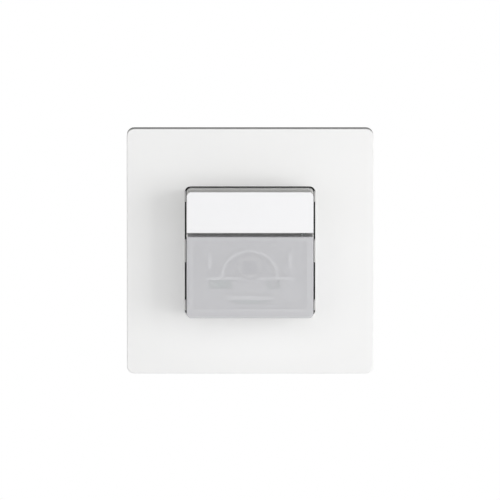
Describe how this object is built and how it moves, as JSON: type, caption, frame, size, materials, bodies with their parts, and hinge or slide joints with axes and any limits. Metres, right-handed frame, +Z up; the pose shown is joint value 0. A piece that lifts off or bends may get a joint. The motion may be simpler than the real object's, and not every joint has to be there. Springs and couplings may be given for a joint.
{
  "type": "presence detector",
  "caption": "Flush wall presence detector: square cover plate, sensor head with push button and milky lens, power insert with screw terminals.",
  "frame": {"origin": "midway between the two wall box screws, in the wall plane", "axes": "+X to the right, +Y into the wall, +Z up; the front looks along -Y"},
  "size_m": [0.088, 0.0435, 0.088],
  "materials": {
    "plate_white": "polished white moulding",
    "button_white": "polished white moulding",
    "lens_milky": "milky translucent polyethylene",
    "housing_white": "fine satin moulding",
    "holder_white": "fine satin moulding",
    "zinc_steel": "bright zinc plate",
    "insert_grey": "dark grey thermoset",
    "cover_grey": "mid grey moulding",
    "board_green": "solder resist on laminate",
    "sensor_nickel": "nickel plated can",
    "filter_dark": "dark silicon filter",
    "lead_tin": "tinned wire",
    "pin_brass": "gold flashed pins",
    "black_plastic": "moulded nylon",
    "package_black": "moulded epoxy package",
    "plunger_black": "moulded acetal",
    "trimmer_blue": "moulded trimmer case",
    "dial_white": "moulded dial",
    "guide_clear": "clear polycarbonate",
    "led_white": "phosphor over a white package",
    "photocell_clear": "tinted epoxy",
    "relay_black": "moulded relay cap",
    "film_yellow": "potted capacitor box",
    "sleeve_black": "shrink sleeve on an aluminium can",
    "varistor_blue": "dipped epoxy coat",
    "resistor_green": "cement coat",
    "terminal_grey": "moulded polyamide",
    "copper_strip": "tinned copper strip",
    "clamp_steel": "plated steel cage",
    "screw_steel": "plated steel screw"
  },
  "bodies": {
    "casing": {"cover_plate": "plate_white", "mounting_plate": "zinc_steel", "front_housing": "housing_white", "sensor_base": "housing_white", "lens": "lens_milky", "sensor_board": "board_green", "plug_strip": "black_plastic", "plug_pins": "pin_brass", "insert_socket": "black_plastic", "pyro_can": "sensor_nickel", "pyro_window": "filter_dark", "pyro_leads": "lead_tin", "sensor_holder": "holder_white", "button_switch": "black_plastic", "lux_trimmer": "trimmer_blue", "time_trimmer": "trimmer_blue", "light_guide": "guide_clear", "status_led": "led_white", "light_sensor": "photocell_clear", "microcontroller": "package_black", "insert_cover": "cover_grey", "rear_housing": "insert_grey", "housing_screws": "screw_steel", "power_board": "board_green", "relay": "relay_black", "film_capacitor": "film_yellow", "bridge_rectifier": "package_black", "storage_capacitor": "sleeve_black", "varistor": "varistor_blue", "fuse_resistor": "resistor_green", "terminal_block": "terminal_grey", "terminal_strips": "copper_strip"},
    "button": {"button": "button_white"},
    "plunger": {"switch_plunger": "plunger_black"},
    "lux_knob": {"lux_dial": "dial_white"},
    "time_knob": {"time_dial": "dial_white"},
    "clamp_screw_1": {"terminal_screw_1": "screw_steel"},
    "cage_1": {"clamp_cage_1": "clamp_steel"},
    "clamp_screw_2": {"terminal_screw_2": "screw_steel"},
    "cage_2": {"clamp_cage_2": "clamp_steel"},
    "clamp_screw_3": {"terminal_screw_3": "screw_steel"},
    "cage_3": {"clamp_cage_3": "clamp_steel"},
    "clamp_screw_4": {"terminal_screw_4": "screw_steel"},
    "cage_4": {"clamp_cage_4": "clamp_steel"}
  },
  "joints": [
    {"name": "button_press", "type": "hinge", "parent": "casing", "child": "button", "pos_m": [0, -0.0082, 0.0184], "axis": [1, 0, 0], "range_deg": [0, 3], "stiffness_Nm_per_rad": 0.12, "springref_deg": -2.86},
    {"name": "plunger_travel", "type": "slide", "parent": "casing", "child": "plunger", "axis": [0, 1, 0], "range_m": [0, 0.0003]},
    {"name": "lux_turn", "type": "hinge", "parent": "casing", "child": "lux_knob", "pos_m": [-0.0115, -0.0109, 0.0145], "axis": [0, 1, 0], "range_deg": [-135, 135]},
    {"name": "time_turn", "type": "hinge", "parent": "casing", "child": "time_knob", "pos_m": [0.0115, -0.0109, 0.0145], "axis": [0, 1, 0], "range_deg": [-135, 135]},
    {"name": "screw_turn_1", "type": "hinge", "parent": "casing", "child": "clamp_screw_1", "pos_m": [-0.0105, 0.0192, -0.0185], "axis": [0, 0, 1], "range_deg": [0, 1440]},
    {"name": "cage_lift_1", "type": "slide", "parent": "casing", "child": "cage_1", "axis": [0, 0, -1], "range_m": [0, 0.002]},
    {"name": "screw_turn_2", "type": "hinge", "parent": "casing", "child": "clamp_screw_2", "pos_m": [-0.0035, 0.0192, -0.0185], "axis": [0, 0, 1], "range_deg": [0, 1440]},
    {"name": "cage_lift_2", "type": "slide", "parent": "casing", "child": "cage_2", "axis": [0, 0, -1], "range_m": [0, 0.002]},
    {"name": "screw_turn_3", "type": "hinge", "parent": "casing", "child": "clamp_screw_3", "pos_m": [0.0035, 0.0192, -0.0185], "axis": [0, 0, 1], "range_deg": [0, 1440]},
    {"name": "cage_lift_3", "type": "slide", "parent": "casing", "child": "cage_3", "axis": [0, 0, -1], "range_m": [0, 0.002]},
    {"name": "screw_turn_4", "type": "hinge", "parent": "casing", "child": "clamp_screw_4", "pos_m": [0.0105, 0.0192, -0.0185], "axis": [0, 0, 1], "range_deg": [0, 1440]},
    {"name": "cage_lift_4", "type": "slide", "parent": "casing", "child": "cage_4", "axis": [0, 0, -1], "range_m": [0, 0.002]}
  ],
  "couplings": [
    {"joint": "plunger_travel", "follows": "button_press", "m_per_rad": 0.0054},
    {"joint": "screw_turn_1", "follows": "cage_lift_1", "rad_per_m": 12566},
    {"joint": "screw_turn_2", "follows": "cage_lift_2", "rad_per_m": 12566},
    {"joint": "screw_turn_3", "follows": "cage_lift_3", "rad_per_m": 12566},
    {"joint": "screw_turn_4", "follows": "cage_lift_4", "rad_per_m": 12566}
  ]
}
